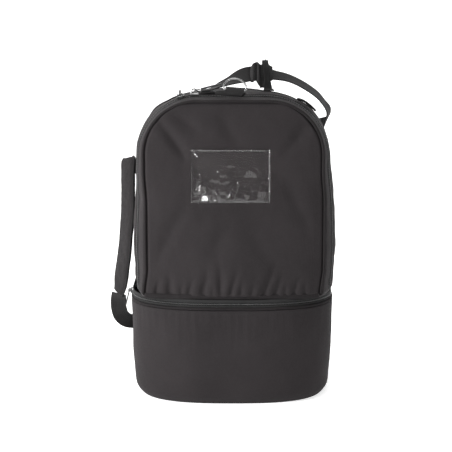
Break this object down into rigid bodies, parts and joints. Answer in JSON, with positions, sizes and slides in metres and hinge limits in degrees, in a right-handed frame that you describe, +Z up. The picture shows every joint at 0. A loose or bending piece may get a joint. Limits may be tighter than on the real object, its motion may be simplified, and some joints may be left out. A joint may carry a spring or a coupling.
{
  "type": "shoe bag",
  "caption": "Travel shoe bag: tall round-topped compartment on a zip-round shoe compartment, with a sling strap, haul loop, ring and clear card window.",
  "frame": {"origin": "centre of the flat underside of the shoe compartment, on the surface that the bag stands on", "axes": "+Z up, -Y towards the front with the card window, +X towards the right as seen from the front"},
  "size_m": [0.3522, 0.2231, 0.504],
  "materials": {
    "fabric": "black woven polyester with a soft matt sheen",
    "piping": "black fabric-covered cord",
    "board": "matt stiffener board",
    "zip_tape": "fine black zip tape",
    "zip_coil": "black nylon coil",
    "webbing": "ribbed black polyester webbing",
    "steel": "nickel-plated wire",
    "gunmetal": "dark plated die casting",
    "pull": "ribbed moulded pull",
    "vinyl": "clear soft vinyl"
  },
  "bodies": {
    "shoe_base": {"base_floor": "fabric", "base_board": "board", "base_wrap_wall": "fabric", "base_back_wall": "fabric", "base_rim_piping": "piping", "base_zip_lower_tape": "zip_tape", "base_zip_coil": "zip_coil", "rear_hinge_binding": "piping", "lower_strap_patch": "webbing", "sling_webbing_lower": "webbing"},
    "upper_body": {"divider_floor": "fabric", "main_gusset": "fabric", "back_panel": "fabric", "back_piping": "piping", "main_zip_rear_tape": "zip_tape", "main_zip_coil": "zip_coil", "base_zip_upper_tape": "zip_tape", "haul_loop": "webbing", "strap_landing_patch": "webbing", "sling_webbing_upper": "webbing", "strap_adjuster": "gunmetal", "shoulder_pad": "fabric", "side_tab": "webbing"},
    "front_flap": {"front_panel": "fabric", "front_piping": "piping", "front_gusset_strip": "fabric", "main_zip_front_tape": "zip_tape", "card_window": "vinyl", "d_ring_tab": "webbing"},
    "d_ring": {"d_ring": "steel"},
    "main_slider_left": {"main_zip_slider_left": "gunmetal"},
    "main_pull_left": {"main_zip_slider_left_pull": "pull"},
    "main_slider_right": {"main_zip_slider_right": "gunmetal"},
    "main_pull_right": {"main_zip_slider_right_link": "gunmetal", "main_zip_slider_right_pull": "pull"},
    "base_slider": {"base_zip_slider": "gunmetal"},
    "base_pull": {"base_zip_slider_pull": "pull"}
  },
  "joints": [
    {"name": "upper_body_tip", "type": "hinge", "parent": "shoe_base", "child": "upper_body", "pos_m": [0, 0.097, 0.153], "axis": [-1, 0, 0], "range_deg": [0, 95]},
    {"name": "front_flap_open", "type": "hinge", "parent": "upper_body", "child": "front_flap", "pos_m": [0, -0.098, 0.1652], "axis": [1, 0, 0], "range_deg": [0, 110]},
    {"name": "d_ring_swing", "type": "hinge", "parent": "front_flap", "child": "d_ring", "pos_m": [0.004, -0.066, 0.4675], "axis": [0.9962, 0, -0.0872], "range_deg": [0, 100]},
    {"name": "left_slider_run", "type": "hinge", "parent": "upper_body", "child": "main_slider_left", "pos_m": [-0.04746, -0.048, 0.3647], "axis": [0, -1, 0], "range_deg": [0, 60]},
    {"name": "left_pull_swing", "type": "hinge", "parent": "main_slider_left", "child": "main_pull_left", "pos_m": [-0.07619, -0.048, 0.45869], "axis": [0.9563, 0, 0.2924], "range_deg": [0, 150]},
    {"name": "right_slider_run", "type": "slide", "parent": "upper_body", "child": "main_slider_right", "axis": [1, 0, 0], "range_m": [0, 0.1]},
    {"name": "right_pull_swing", "type": "hinge", "parent": "main_slider_right", "child": "main_pull_right", "pos_m": [-0.055, -0.048, 0.46479], "axis": [0, -1, 0], "range_deg": [0, 145]},
    {"name": "base_slider_run", "type": "slide", "parent": "shoe_base", "child": "base_slider", "axis": [0, 1, 0], "range_m": [0, 0.05]},
    {"name": "base_pull_swing", "type": "hinge", "parent": "base_slider", "child": "base_pull", "pos_m": [-0.1577, -0.008, 0.1549], "axis": [0, 1, 0], "range_deg": [0, 110]}
  ]
}
